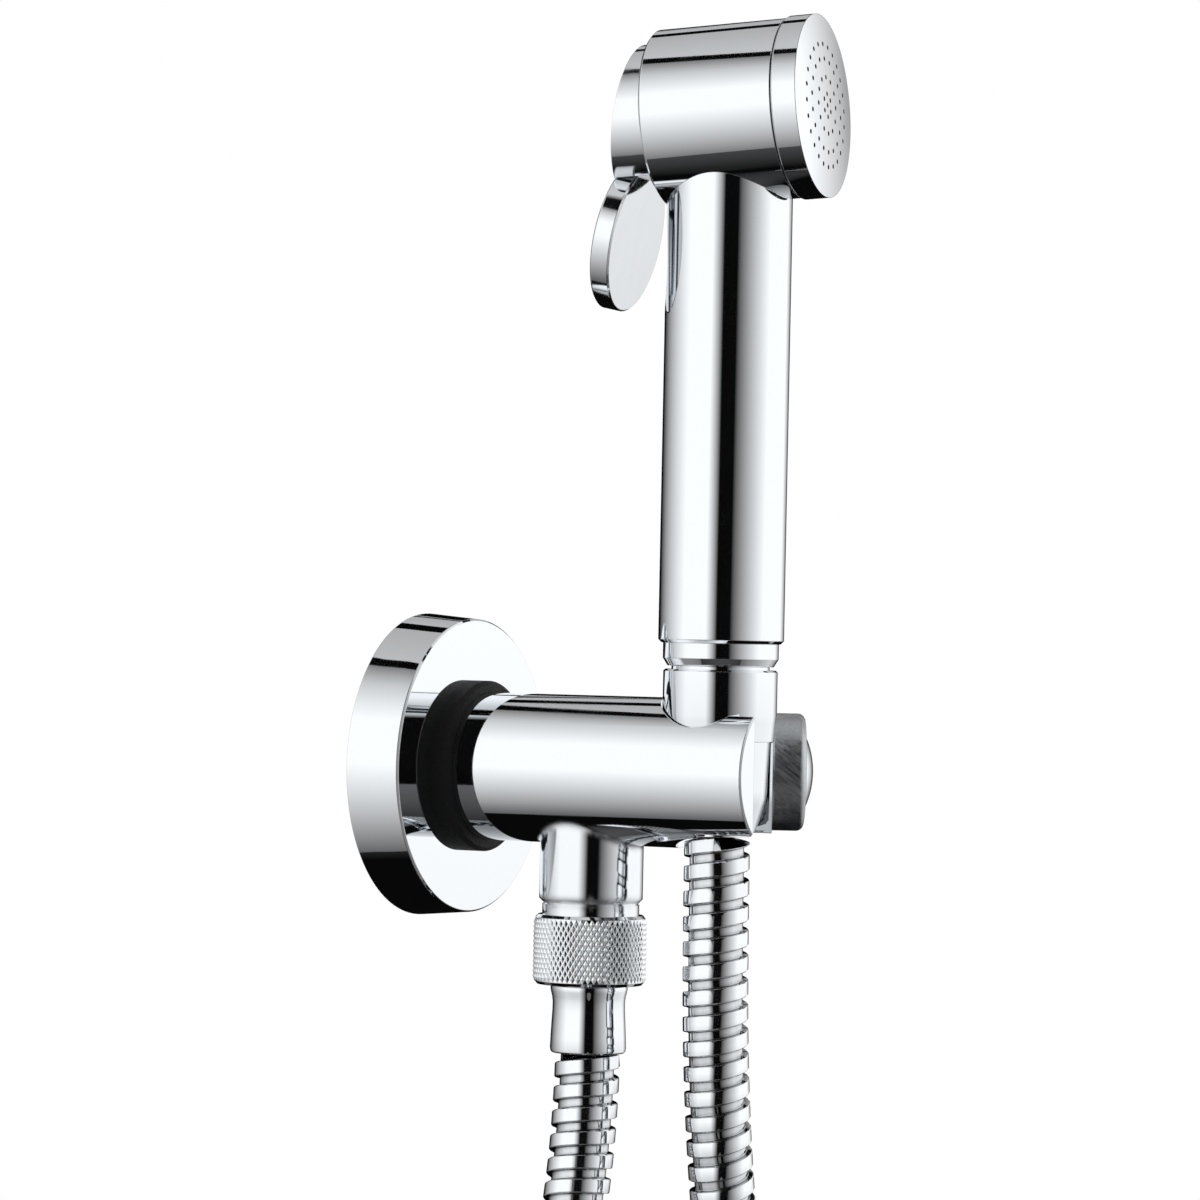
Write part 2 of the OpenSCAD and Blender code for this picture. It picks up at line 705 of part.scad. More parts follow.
// The upper disc: flat against the head's back, with its outer face sloped away to the bend
module lever_wedge() intersection() {
    along_x() rod(lever_top_r, fold_x - 1, lever_in);
    translate([fold_x, -head_r, -bend_drop]) rotate([0, lever_turn, 0]) translate([0, 0, -1])
        cube([2 * head_r, 2 * head_r, 3 * head_r]);
    translate([fold_x - head_r, -head_r, -bend_drop]) cube([3 * head_r, 2 * head_r, 2 * head_r]);
}

module trigger_lever() color(chrome) on_head() difference() {
    union() {
        lever_wedge();
        translate([fold_x, 0, -bend_drop]) rotate([0, bend_turn, 0]) translate([0, 0, -lever_thumb_drop])
            along_x() turned(lever_thumb_r, 0, lever_thumb_t, 0.35);
        translate([pin_x, 0, -bend_drop]) rotate([90, 0, 0]) cylinder(r = lug_r, h = 2 * lug_half, center = true);
        translate([lever_in - 1, -lug_half, -bend_drop - lug_r]) cube([pin_x - lever_in + 1, 2 * lug_half, 2 * lug_r]);
    }
    translate([pin_x, 0, -bend_drop]) rotate([90, 0, 0]) cylinder(r = pin_r + run_fit, h = 30, center = true);
    translate([lever_in - lever_web - head_r, 0, 0]) rotate([0, -90, 180]) {
        linear_extrude(head_r + lever_web + 1) oblong(stem_r + 0.4, lift);
        linear_extrude(head_r) oblong(stem_nut_r + 0.5, lift);
    }
}

module valve_stem() color(steel) on_head() along_x() {
    rod(stem_r, stem_back, seat_x + 0.4);
    rod(nozzle_r + 1.4, stem_cup, washer_x);
    rod(stem_r + 0.9, washer_end + seat_gap, seat_x + 0.8);
}

module stem_washer() color(rubber) on_head() along_x() {
    band(nozzle_r + 1.4, stem_r + 0.02, washer_x, washer_end);
}

module stem_nut() color(chrome) on_head() along_x() {
    band(stem_nut_r, stem_r + 0.02, stem_back, stem_back + stem_nut_t);
}

// A wire coil that pushes the stem's cup forward on to the seat
module return_spring() color(steel) on_head() along_x() {
    wire = 0.4;
    mid_r = gland_r - 1.6 - wire - 0.4;
    turns = 4;
    steps = 16;
    low = spring_seat + wire + seat_gap;
    high = stem_cup - wire - seat_gap;
    count = turns * steps;
    points = [
        for (i = [0:count]) let (a = 360 * i / steps, z = low + (high - low) * i / count)
            for (k = [0:5]) let (r = mid_r + wire * cos(60 * k))
                [r * cos(a), r * sin(a), z + wire * sin(60 * k)]
    ];
    faces = concat(
        [for (i = [0:count - 1]) for (k = [0:5])
            [i * 6 + k, i * 6 + (k + 1) % 6, (i + 1) * 6 + (k + 1) % 6, (i + 1) * 6 + k]],
        [[for (k = [5:-1:0]) k], [for (k = [0:5]) count * 6 + k]]);
    polyhedron(points, faces);
}

wall_flange();
flange_ring();
valve_body();
seat_seal();
fixed_disc();
moving_disc();
valve_spindle();
spindle_ring();
bonnet();
bonnet_seal();
valve_knob();
knob_screw();
knob_cap();
hose_nut();
nut_washer();
hose_nipple();
hose_ferrule();
hose_drop();
hose_coil();
hose_rise();
hose_ties();
swivel_tail();
tail_washer();
cone_nut();
handle_tail();
tail_ring();
handset_body();
valve_seat();
seat_ring();
spray_cap();
spray_seal();
stem_gland();
gland_ring();
hinge_pin();
trigger_lever();
valve_stem();
stem_washer();
stem_nut();
return_spring();
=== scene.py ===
# %% [markdown]
# # A handheld bidet shower in chrome
# This lesson dresses a finished construction model. The solids arrive from the frame at their
# real size, in metres, and every step below gives them the finish that the maker gave them.
# What the solids leave out is modelled here: the wound strip of the metal hose, the knurl on
# its union nut and the straps round its spare length.

# %% Load the frame
import json
import math

import bmesh
import bpy
import numpy as np
from mathutils import Matrix, Vector


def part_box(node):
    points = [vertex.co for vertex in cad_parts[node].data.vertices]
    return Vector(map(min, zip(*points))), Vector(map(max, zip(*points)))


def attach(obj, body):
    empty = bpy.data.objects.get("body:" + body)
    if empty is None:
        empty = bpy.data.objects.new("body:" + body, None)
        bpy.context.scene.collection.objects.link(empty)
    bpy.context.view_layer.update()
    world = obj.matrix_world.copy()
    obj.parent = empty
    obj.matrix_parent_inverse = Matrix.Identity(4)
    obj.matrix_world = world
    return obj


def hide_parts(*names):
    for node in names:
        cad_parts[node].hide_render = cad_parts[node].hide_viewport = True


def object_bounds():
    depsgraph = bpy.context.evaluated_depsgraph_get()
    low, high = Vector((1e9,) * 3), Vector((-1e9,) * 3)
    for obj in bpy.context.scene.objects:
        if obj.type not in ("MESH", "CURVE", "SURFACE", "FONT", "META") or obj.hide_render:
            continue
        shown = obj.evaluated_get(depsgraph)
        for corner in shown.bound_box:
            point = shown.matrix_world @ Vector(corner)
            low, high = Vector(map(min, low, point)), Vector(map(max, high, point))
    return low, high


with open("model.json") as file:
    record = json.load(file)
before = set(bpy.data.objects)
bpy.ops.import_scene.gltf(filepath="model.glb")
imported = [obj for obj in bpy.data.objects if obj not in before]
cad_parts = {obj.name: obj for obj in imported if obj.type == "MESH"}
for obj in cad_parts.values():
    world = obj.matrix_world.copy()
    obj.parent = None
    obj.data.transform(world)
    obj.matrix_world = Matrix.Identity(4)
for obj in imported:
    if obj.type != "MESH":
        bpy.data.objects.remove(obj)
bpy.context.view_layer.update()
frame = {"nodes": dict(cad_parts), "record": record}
MM = 0.001

# %% [markdown]
# ## Camera
# The photograph was taken with a long lens, almost level with the arm, from the front and a
# little to the right of it. A long lens keeps upright edges nearly parallel. The camera's
# place and turn are measured once against the flange, the arm and the head, and are kept here
# as plain values.

# %% Place the camera
CAMERA_SPOT = Vector((0.5929, -0.9853, 0.0304))
CAMERA_TURN = math.radians(29.2)
CAMERA_PITCH = math.radians(-0.287)
CAMERA_ROLL = math.radians(1.163)
FILM = 36.0
LENS = 159.5

view_back = Vector((
    math.sin(CAMERA_TURN) * math.cos(CAMERA_PITCH),
    -math.cos(CAMERA_TURN) * math.cos(CAMERA_PITCH),
    math.sin(CAMERA_PITCH),
))
view_right = Vector((math.cos(CAMERA_TURN), math.sin(CAMERA_TURN), 0))
view_up = view_back.cross(view_right)
rolled_right = math.cos(CAMERA_ROLL) * view_right + math.sin(CAMERA_ROLL) * view_up
rolled_up = math.cos(CAMERA_ROLL) * view_up - math.sin(CAMERA_ROLL) * view_right

camera_data = bpy.data.cameras.new("studio_camera")
camera_data.lens = LENS
camera_data.sensor_width = FILM
camera_data.sensor_fit = "HORIZONTAL"
camera_data.clip_start = 0.01
camera = bpy.data.objects.new("studio_camera", camera_data)
bpy.context.scene.collection.objects.link(camera)
pose = Matrix((rolled_right, rolled_up, view_back)).transposed().to_4x4()
camera.matrix_world = Matrix.Translation(CAMERA_SPOT) @ pose
bpy.context.scene.camera = camera
print("camera at", tuple(round(v, 3) for v in CAMERA_SPOT), "lens", LENS)

# %% [markdown]
# ## Small helpers
# A colour is written as the hex value that a painter would read off a screen, so one function
# turns it to the linear values that a shader wants. One more function adds a node with its
# settings and its links, which keeps each material short enough to read.


# %% Helpers for colours, nodes and meshes
def linear(hex_code):
    """Linear RGBA of an sRGB hex colour."""
    parts = [int(hex_code[i:i + 2], 16) / 255 for i in (1, 3, 5)]
    return tuple(p / 12.92 if p <= 0.04045 else ((p + 0.055) / 1.055) ** 2.4 for p in parts) + (1.0,)


def add(tree, kind, links=None, values=None, **settings):
    """A node of that kind, with its settings, its input values and its incoming links."""
    node = tree.nodes.new(kind)
    for key, value in settings.items():
        setattr(node, key, value)
    for key, value in (values or {}).items():
        node.inputs[key].default_value = value
    for key, socket in (links or {}).items():
        tree.links.new(socket, node.inputs[key])
    return node


def new_material(name, colour, metallic, roughness):
    """A material with its base values set on the shader's own sockets."""
    made = bpy.data.materials.new(name)
    made.use_nodes = True
    shader = made.node_tree.nodes["Principled BSDF"]
    shader.inputs["Base Color"].default_value = linear(colour)
    shader.inputs["Metallic"].default_value = metallic
    shader.inputs["Roughness"].default_value = roughness
    return made, made.node_tree, shader


def mesh_object(name, points, faces, body, finish):
    """A mesh in the row's frame that rides on a body."""
    data = bpy.data.meshes.new(name)
    data.from_pydata([tuple(p) for p in points], [], faces)
    data.update()
    made = bpy.data.objects.new(name, data)
    bpy.context.scene.collection.objects.link(made)
    data.materials.append(finish)
    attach(made, body)
    return made


def tidy_mesh(piece, merge=1e-6, sharp=math.radians(32)):
    """Merges doubles, turns the faces outwards and shades smooth up to the sharp angle."""
    shape = bmesh.new()
    shape.from_mesh(piece.data)
    bmesh.ops.remove_doubles(shape, verts=shape.verts, dist=merge)
    bmesh.ops.dissolve_degenerate(shape, edges=shape.edges, dist=merge)
    bmesh.ops.recalc_face_normals(shape, faces=shape.faces)
    for face in shape.faces:
        face.smooth = True
    for edge in shape.edges:
        edge.smooth = len(edge.link_faces) == 2 and edge.calc_face_angle(0) < sharp
    shape.to_mesh(piece.data)
    shape.free()
    return piece


# %% [markdown]
# ## Finishes
# Bright chrome is a micron of chromium on polished brass. It has almost no colour of its own:
# the eye reads it from what it mirrors, plus the faint waviness that hand polishing leaves.
# So the material is a clean metal with a trace of roughness, and a bump a few micrometres deep.


# %% Chrome plate
WAVE_SIZE = 9 * MM
CHROME = "#EFF2F5"
EDGE_SOFTENING = 0.2 * MM


def chrome_plate(name, roughness, wave_depth, softening=EDGE_SOFTENING, near=None):
    """Polished and plated metal. near is (x, y, radius, softening there) of a cast joint."""
    made, tree, shader = new_material(name, CHROME, 1.0, roughness)
    place = add(tree, "ShaderNodeTexCoord")
    wave = add(tree, "ShaderNodeTexNoise", {"Vector": place.outputs["Object"]},
               {"Scale": 1 / WAVE_SIZE, "Detail": 2.0, "Roughness": 0.4})
    smear = add(tree, "ShaderNodeTexNoise", {"Vector": place.outputs["Object"]},
                {"Scale": 1 / (4 * MM), "Detail": 4.0})
    gloss = add(tree, "ShaderNodeMapRange", {"Value": smear.outputs["Fac"]},
                {"From Min": 0.35, "From Max": 0.75, "To Min": roughness, "To Max": roughness * 1.8})
    soft = add(tree, "ShaderNodeBevel", values={"Radius": softening}, samples=8)
    if near:
        x, y, radius, wide = near
        away = add(tree, "ShaderNodeVectorMath", {0: place.outputs["Object"]}, operation="SUBTRACT")
        away.inputs[1].default_value = (x, y, 0)
        flat = add(tree, "ShaderNodeVectorMath", {0: away.outputs["Vector"]}, operation="MULTIPLY")
        flat.inputs[1].default_value = (1, 1, 0)
        reach = add(tree, "ShaderNodeVectorMath", {0: flat.outputs["Vector"]}, operation="LENGTH")
        size = add(tree, "ShaderNodeMapRange", {"Value": reach.outputs["Value"]},
                   {"From Min": radius, "From Max": radius + 2 * wide,
                    "To Min": wide, "To Max": softening})
        tree.links.new(size.outputs["Result"], soft.inputs["Radius"])
    bump = add(tree, "ShaderNodeBump", {"Height": wave.outputs["Fac"], "Normal": soft.outputs["Normal"]},
               {"Strength": 1.0, "Distance": wave_depth})
    tree.links.new(gloss.outputs["Result"], shader.inputs["Roughness"])
    tree.links.new(bump.outputs["Normal"], shader.inputs["Normal"])
    return made


chrome = chrome_plate("chrome_plate_on_polished_brass", 0.025, 0.004 * MM)
stem_low, stem_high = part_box("hose_nut")
STEM_X, STEM_Y = (stem_low.x + stem_high.x) / 2, (stem_low.y + stem_high.y) / 2
STEM_RADIUS = 11 * MM
CAST_FILLET = 2.2 * MM
cast_chrome = chrome_plate("chrome_plate_on_cast_body", 0.025, 0.004 * MM,
                           near=(STEM_X, STEM_Y, STEM_RADIUS, CAST_FILLET))
print("made", chrome.name, "and", cast_chrome.name)

# %% [markdown]
# The fine holes of the spray face are deep and fall into shade, so shade is painted into the
# colour wherever a surface is closed in that tightly. The thumb lever is pressed from plate and
# polished by hand, so its faces wave a little more than the turned pieces do.


# %% Chrome with painted shade in its jets, and a bent plate
JET_RIM = 0.25 * MM


def paint_shade_where_closed(finish, reach, closed, free, shade):
    """Paints shade into a metal's colour where it is shut in closer than reach."""
    tree = finish.node_tree
    shut_in = add(tree, "ShaderNodeAmbientOcclusion", values={"Distance": reach}, samples=12)
    depth = add(tree, "ShaderNodeMapRange", {"Value": shut_in.outputs["AO"]},
                {"From Min": closed, "From Max": free})
    tone = add(tree, "ShaderNodeMix", {"Factor": depth.outputs["Result"]}, data_type="RGBA")
    tone.inputs["A"].default_value = linear(shade)
    tone.inputs["B"].default_value = linear(CHROME)
    tree.links.new(tone.outputs["Result"], tree.nodes["Principled BSDF"].inputs["Base Color"])
    return finish


def paint_shade_at_edges(finish, radius, turned, flat):
    """Paints shade into a metal's colour within radius of its edges, where the rounded normal leaves the face's
    own.
    """
    tree = finish.node_tree
    face = add(tree, "ShaderNodeNewGeometry")
    soft = add(tree, "ShaderNodeBevel", values={"Radius": radius}, samples=12)
    same = add(tree, "ShaderNodeVectorMath", {0: face.outputs["Normal"], 1: soft.outputs["Normal"]},
               operation="DOT_PRODUCT")
    plain = add(tree, "ShaderNodeMapRange", {"Value": same.outputs["Value"]},
                {"From Min": turned, "From Max": flat, "To Min": 0.12, "To Max": 1.0})
    colour = tree.nodes["Principled BSDF"].inputs["Base Color"]
    shaded = add(tree, "ShaderNodeMix", {"A": colour.links[0].from_socket, "B": plain.outputs["Result"]},
                 {"Factor": 1.0}, data_type="RGBA", blend_type="MULTIPLY")
    tree.links.new(shaded.outputs["Result"], colour)
    return finish


# Painted shade: the spray face's colour darkens inside its jets, where they are closed in
pierced_chrome = paint_shade_where_closed(chrome_plate("chrome_plate_with_painted_shade_in_jets", 0.03, 0.003 * MM),
                                   1.2 * MM, 0.6, 0.98, "#0C0D0E")
# Painted shade along the rims of the jets and the other edges of the spray face
paint_shade_at_edges(pierced_chrome, JET_RIM, 0.9, 0.995)
plate_chrome = chrome_plate("chrome_plate_on_bent_plate", 0.05, 0.03 * MM)
print("made", pierced_chrome.name, "and", plate_chrome.name)

# %% [markdown]
# The knob is chromed too, but its grip was brushed first, so it carries fine lines that run
# round it and a few longer diagonal strokes. Brushing spreads a highlight across the lines and
# leaves it sharp along them, which is why the knob looks darker than its neighbours.

# %% Brushed knob
BRUSH_PITCH = 0.25 * MM
STROKE_TURN = math.radians(38)
STROKE_STRETCH = 16.0
KNOB_TURN = math.radians(30)


def brushed_nickel():
    """Satin metal with strokes from an abrasive belt."""
    made, tree, shader = new_material("belt_brushed_nickel", "#B4B8BB", 1.0, 0.35)
    place = add(tree, "ShaderNodeTexCoord")
    turned = add(tree, "ShaderNodeMapping", {"Vector": place.outputs["Object"]},
                 {"Rotation": (0.0, STROKE_TURN, KNOB_TURN), "Scale": (STROKE_STRETCH, 1.0, 1.0)},
                 vector_type="TEXTURE")
    lines = add(tree, "ShaderNodeTexNoise", {"Vector": turned.outputs["Vector"]},
                {"Scale": 1 / BRUSH_PITCH / 2, "Detail": 4.0, "Roughness": 0.6})
    shade = add(tree, "ShaderNodeMapRange", {"Value": lines.outputs["Fac"]},
                {"From Min": 0.3, "From Max": 0.7, "To Min": 0.26, "To Max": 0.46})
    tint = add(tree, "ShaderNodeMix", {"Factor": lines.outputs["Fac"]}, data_type="RGBA")
    tint.inputs["A"].default_value = linear("#9B9FA3")
    tint.inputs["B"].default_value = linear("#E2E5E8")
    bump = add(tree, "ShaderNodeBump", {"Height": lines.outputs["Fac"]},
                {"Strength": 0.6, "Distance": 0.02 * MM})
    tree.links.new(tint.outputs["Result"], shader.inputs["Base Color"])
    tree.links.new(shade.outputs["Result"], shader.inputs["Roughness"])
    tree.links.new(bump.outputs["Normal"], shader.inputs["Normal"])
    return made


satin = brushed_nickel()
print("made", satin.name)

# %% [markdown]
# Black EPDM rubber makes the flange's ring and every seal. It is moulded, so it is matt and
# very slightly grained. The small inner pieces are turned brass, lapped alumina and drawn
# stainless wire, and each gets the plain finish of its making.


# %% Rubber, brass, ceramic and steel
def grained(name, colour, metallic, roughness, grain_size, grain_depth, spread):
    """A material with a fine grain in its height and its roughness."""
    made, tree, shader = new_material(name, colour, metallic, roughness)
    place = add(tree, "ShaderNodeTexCoord")
    grain = add(tree, "ShaderNodeTexNoise", {"Vector": place.outputs["Object"]},
                {"Scale": 1 / grain_size, "Detail": 5.0, "Roughness": 0.6})
    gloss = add(tree, "ShaderNodeMapRange", {"Value": grain.outputs["Fac"]},
                {"From Min": 0.3, "From Max": 0.7,
                 "To Min": roughness - spread, "To Max": roughness + spread})
    bump = add(tree, "ShaderNodeBump", {"Height": grain.outputs["Fac"]},
               {"Strength": 0.7, "Distance": grain_depth})
    tree.links.new(gloss.outputs["Result"], shader.inputs["Roughness"])
    tree.links.new(bump.outputs["Normal"], shader.inputs["Normal"])
    return made


rubber = grained("moulded_black_epdm_rubber", "#0B0B0C", 0.0, 0.6, 0.6 * MM, 0.02 * MM, 0.1)
rubber.node_tree.nodes["Principled BSDF"].inputs["Specular IOR Level"].default_value = 0.25
brass = grained("turned_brass", "#C9A35A", 1.0, 0.22, 0.5 * MM, 0.01 * MM, 0.06)
ceramic = grained("lapped_alumina_ceramic", "#F0EEE6", 0.0, 0.25, 0.8 * MM, 0.005 * MM, 0.05)
steel = grained("drawn_stainless_steel", "#C8CBCE", 1.0, 0.18, 0.7 * MM, 0.01 * MM, 0.05)
# Painted shade: the strip's colour darkens where the turns close in, most in the sunk band between them
strip_steel = paint_shade_where_closed(chrome_plate("chromed_stainless_strip", 0.05, 0.006 * MM),
                                2.5 * MM, 0.3, 0.85, "#2A2C2F")
print("made", [m.name for m in (rubber, brass, ceramic, steel, strip_steel)])

# %% [markdown]
# ## The hose
# The hose is a steel strip wound over a rubber liner: each turn hooks into the last, so a wide
# raised band and a narrow sunk one climb it like a screw. It is 1.2 m long and 14 mm across.
# It could be a tube with a bump, but its steps show in the outline, so the strip is modelled.
# The route is the one that the solids follow: down from the outlet, once and a half round as a
# neat coil below the view, and up to the cradle.

# %% The hose's route
HOSE_RADIUS = 7 * MM
COIL_RADIUS = 76
COIL_X = 41.5
COIL_Z = -262
COIL_PITCH = 15
COIL_TURNS = 1.5
DROP = [
    (41.5, 0, -60), (41.5, -0.6, -70), (41.5, -2.5, -84), (41.5, -7, -102),
    (41.5, -14, -122), (41.5, -24, -143), (41.5, -36, -164), (41.5, -49, -186),
    (41.5, -61, -209), (41.5, -71, -234), (41.5, -76, -262),
]
RISE = [
    (64, 76, -262), (64.5, 73, -237), (65.5, 65, -212), (66.5, 54, -189),
    (67.5, 42, -167), (68.5, 30, -145), (69.5, 19, -123), (70.5, 10, -100),
    (71, 4.5, -77), (71.3, 1.5, -55), (71.5, 0.3, -34), (71.5, 0, -13),
]


def coil_points(count):
    """Points of the coil, from its first turn's left side to its last turn's right side."""
    made = []
    for i in range(1, count):
        turn = COIL_TURNS * i / count
        angle = math.pi + 2 * math.pi * turn
        made.append((COIL_X + COIL_PITCH * turn, COIL_RADIUS * math.cos(angle),
                     COIL_Z + COIL_RADIUS * math.sin(angle)))
    return made


def smooth_path(points, steps):
    """A Catmull-Rom curve through the points, in metres."""
    p = np.array(points, float) * MM
    p = np.vstack([2 * p[0] - p[1], p, 2 * p[-1] - p[-2]])
    t = np.linspace(0, 1, steps, endpoint=False)[:, None]
    parts = []
    for a, b, c, d in zip(p, p[1:], p[2:], p[3:]):
        parts.append(0.5 * (2 * b + (c - a) * t + (2 * a - 5 * b + 4 * c - d) * t ** 2
                            + (3 * b - a - 3 * c + d) * t ** 3))
    return np.vstack(parts + [p[-2][None]])


route = smooth_path(DROP + coil_points(36) + RISE, 10)
steps = np.linalg.norm(np.diff(route, axis=0), axis=1)
arc = np.concatenate([[0], np.cumsum(steps)])
print("hose route:", len(route), "points,", round(float(arc[-1]), 4), "m long")

# %% [markdown]
# A strip wound on a bent tube needs a frame that travels along the route without twisting.
# Each step turns the last frame by no more than the path itself turns. The strip's own profile
# is then laid along a helix: eight points across one pitch, swept round turn after turn.

# %% The wound strip
STRIP_PITCH = 5.25 * MM
SEGMENTS = 28
# Across one pitch, as distance along the hose and radius, in millimetres: a rounded hook, the
# flat of the raised band, its lower hook and the sunk band
STRIP = [(0.0, 6.05), (0.12, 6.7), (0.36, 6.93), (3.0, 6.93), (3.24, 6.78), (3.34, 5.85),
         (3.5, 5.72), (5.1, 5.72)]


def travelling_frames(path):
    """Two sides for each point of the path, carried along it without twist."""
    ahead = np.gradient(path, axis=0)
    ahead /= np.linalg.norm(ahead, axis=1)[:, None]
    side = np.zeros_like(path)
    side[0] = np.cross(ahead[0], (0, 1, 0))
    for i in range(1, len(path)):
        carried = side[i - 1] - ahead[i] * np.dot(side[i - 1], ahead[i])
        side[i] = carried / np.linalg.norm(carried)
    return side, np.cross(ahead, side)


side, upper = travelling_frames(route)


def along(values, at):
    """Values of the route at given distances from its start."""
    return np.stack([np.interp(at, arc, values[:, k]) for k in range(3)], axis=-1)


def wound_strip():
    """Points and faces of the strip, wound along the whole route."""
    turns = int(math.ceil(arc[-1] / STRIP_PITCH)) + 1
    count = (turns + 1) * SEGMENTS + 1
    i = np.arange(count)[:, None]
    offset = np.array([d for d, _ in STRIP])[None] * MM
    radius = np.array([r for _, r in STRIP])[None] * MM
    at = STRIP_PITCH * (i / SEGMENTS - 1) + offset
    angle = 2 * np.pi * i / SEGMENTS + 0 * offset
    inside = (at > 0) & (at < arc[-1])
    radius = np.where(inside, radius + 0 * at, 0)[..., None]
    at = np.clip(at, 0, arc[-1])
    points = along(route, at) + radius * (np.cos(angle)[..., None] * along(side, at)
                                          + np.sin(angle)[..., None] * along(upper, at))
    across = len(STRIP)
    faces = []
    for k in range(count - 1):
        for j in range(across):
            if j < across - 1:
                a, b = k * across + j, k * across + j + 1
                faces.append((a, a + across, b + across, b))
            elif k + 1 + SEGMENTS < count:
                a, b = k * across + j, (k + SEGMENTS) * across
                faces.append((a, a + across, b + across, b))
    return points.reshape(-1, 3), faces


points, faces = wound_strip()
hose = mesh_object("spiral_hose", points, faces, "root", strip_steel)
tidy_mesh(hose, 2e-6)
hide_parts("hose_drop", "hose_coil", "hose_rise")
print("hose:", len(hose.data.polygons), "faces")

# %% [markdown]
# ## The straps
# The spare length would never stay coiled by itself, so two woven hook-and-loop straps hold it.
# The lower one runs round both turns that lie side by side there, and the upper one round the
# single turn at the top. Each is drawn as an outline of two half-rounds joined by straight
# runs, and given its thickness and width by a loop.


# %% Woven strap material
WEAVE_PITCH = 0.9 * MM


def woven_strap():
    """Black nylon webbing: a plain weave, drawn by two crossed waves in the height."""
    made, tree, shader = new_material("woven_nylon_hook_strap", "#1B1B1D", 0.0, 0.75)
    place = add(tree, "ShaderNodeTexCoord")
    waves = [
        add(tree, "ShaderNodeTexWave", {"Vector": place.outputs["Object"]},
            {"Scale": 1 / WEAVE_PITCH / 20, "Distortion": 0.3}, bands_direction=axis)
        for axis in ("X", "Z")
    ]
    weave = add(tree, "ShaderNodeMath", {0: waves[0].outputs["Fac"], 1: waves[1].outputs["Fac"]},
                operation="MULTIPLY")
    tint = add(tree, "ShaderNodeMix", {"Factor": weave.outputs["Value"]}, data_type="RGBA")
    tint.inputs["A"].default_value = linear("#101012")
    tint.inputs["B"].default_value = linear("#2A2A2E")
    bump = add(tree, "ShaderNodeBump", {"Height": weave.outputs["Value"]},
               {"Strength": 0.9, "Distance": 0.12 * MM})
    tree.links.new(tint.outputs["Result"], shader.inputs["Base Color"])
    tree.links.new(bump.outputs["Normal"], shader.inputs["Normal"])
    return made


webbing = woven_strap()

# %% Two straps round the coil
STRAP_WIDTH = 15
STRAP_THICK = 1.1
# Angle round the coil, and half the distance between the turns that lie side by side there
STRAP_PLACES = [(math.radians(-90), COIL_PITCH / 2), (math.radians(90), 0.0)]


def strap_outline(radius, half_run, count):
    """A closed outline round two turns that lie half_run to each side, as (x, out) pairs."""
    angles = [math.pi * k / count for k in range(count + 1)]
    right = [(half_run + radius * math.sin(a), radius * math.cos(a)) for a in angles]
    left = [(-half_run - radius * math.sin(a), -radius * math.cos(a)) for a in angles]
    return right + left


def strap_points(place, half_run):
    """Corners of one strap: rings of four points, carried round the outline."""
    middle = COIL_X + COIL_PITCH * COIL_TURNS / 2
    rings = []
    inner = strap_outline(HOSE_RADIUS / MM + 0.05, half_run, 12)
    outer = strap_outline(HOSE_RADIUS / MM + 0.05 + STRAP_THICK, half_run, 12)
    for (xi, oi), (xo, oo) in zip(inner, outer):
        ring = []
        for x, out, across in ((xi, oi, -1), (xi, oi, 1), (xo, oo, 1), (xo, oo, -1)):
            spread = across * STRAP_WIDTH / 2
            reach = COIL_RADIUS + out
            ring.append(((middle + x) * MM,
                         (reach * math.cos(place) - spread * math.sin(place)) * MM,
                         (COIL_Z + reach * math.sin(place) + spread * math.cos(place)) * MM))
        rings.append(ring)
    return rings


strap_verts, strap_faces = [], []
for place, half_run in STRAP_PLACES:
    rings = strap_points(place, half_run)
    start = len(strap_verts)
    strap_verts += [p for ring in rings for p in ring]
    for k in range(len(rings)):
        n = (k + 1) % len(rings)
        strap_faces += [(start + 4 * k + c, start + 4 * k + (c + 1) % 4,
                         start + 4 * n + (c + 1) % 4, start + 4 * n + c) for c in range(4)]
straps = mesh_object("hose_straps", strap_verts, strap_faces, "root", webbing)
tidy_mesh(straps)
soften = straps.modifiers.new("worn_edges", "BEVEL")
soften.width = 0.3 * MM
soften.segments = 2
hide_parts("hose_ties")

# %% [markdown]
# The hose and its straps are built. The hose leaves the ferrule, and its far end goes back into
# the part at the swivel under the cradle.

print("declared", hose.name, "with", straps.name)

# %% [markdown]
# ## Finishes for the solids
# Each solid keeps its own mesh and gets its material. The meshes are loose triangles, so a small
# Geometry Nodes tree welds them and shades them smooth, and leaves every edge that is sharper
# than the limit crisp. A mirror finish would show each facet without it.


# %% Smooth shading by angle
def smooth_tree():
    """Welds loose triangles and marks as sharp the edges that turn past the limit."""
    tree = bpy.data.node_groups.new("weld_and_smooth", "GeometryNodeTree")
    tree.interface.new_socket("Geometry", in_out="INPUT", socket_type="NodeSocketGeometry")
    limit = tree.interface.new_socket("Sharp angle", in_out="INPUT", socket_type="NodeSocketFloat")
    limit.default_value = math.radians(24)
    tree.interface.new_socket("Geometry", in_out="OUTPUT", socket_type="NodeSocketGeometry")
    entry = add(tree, "NodeGroupInput")
    weld = add(tree, "GeometryNodeMergeByDistance", {"Geometry": entry.outputs["Geometry"]},
               {"Distance": 2e-6})
    soft = add(tree, "GeometryNodeSetShadeSmooth", {"Geometry": weld.outputs["Geometry"]},
               {"Shade Smooth": True}, domain="FACE")
    angle = add(tree, "GeometryNodeInputMeshEdgeAngle")
    past = add(tree, "FunctionNodeCompare",
               {"A": angle.outputs["Unsigned Angle"], "B": entry.outputs["Sharp angle"]},
               data_type="FLOAT", operation="GREATER_THAN")
    crisp = add(tree, "GeometryNodeSetShadeSmooth",
                {"Geometry": soft.outputs["Geometry"], "Selection": past.outputs["Result"]},
                {"Shade Smooth": False}, domain="EDGE")
    add(tree, "NodeGroupOutput", {"Geometry": crisp.outputs["Geometry"]})
    return tree


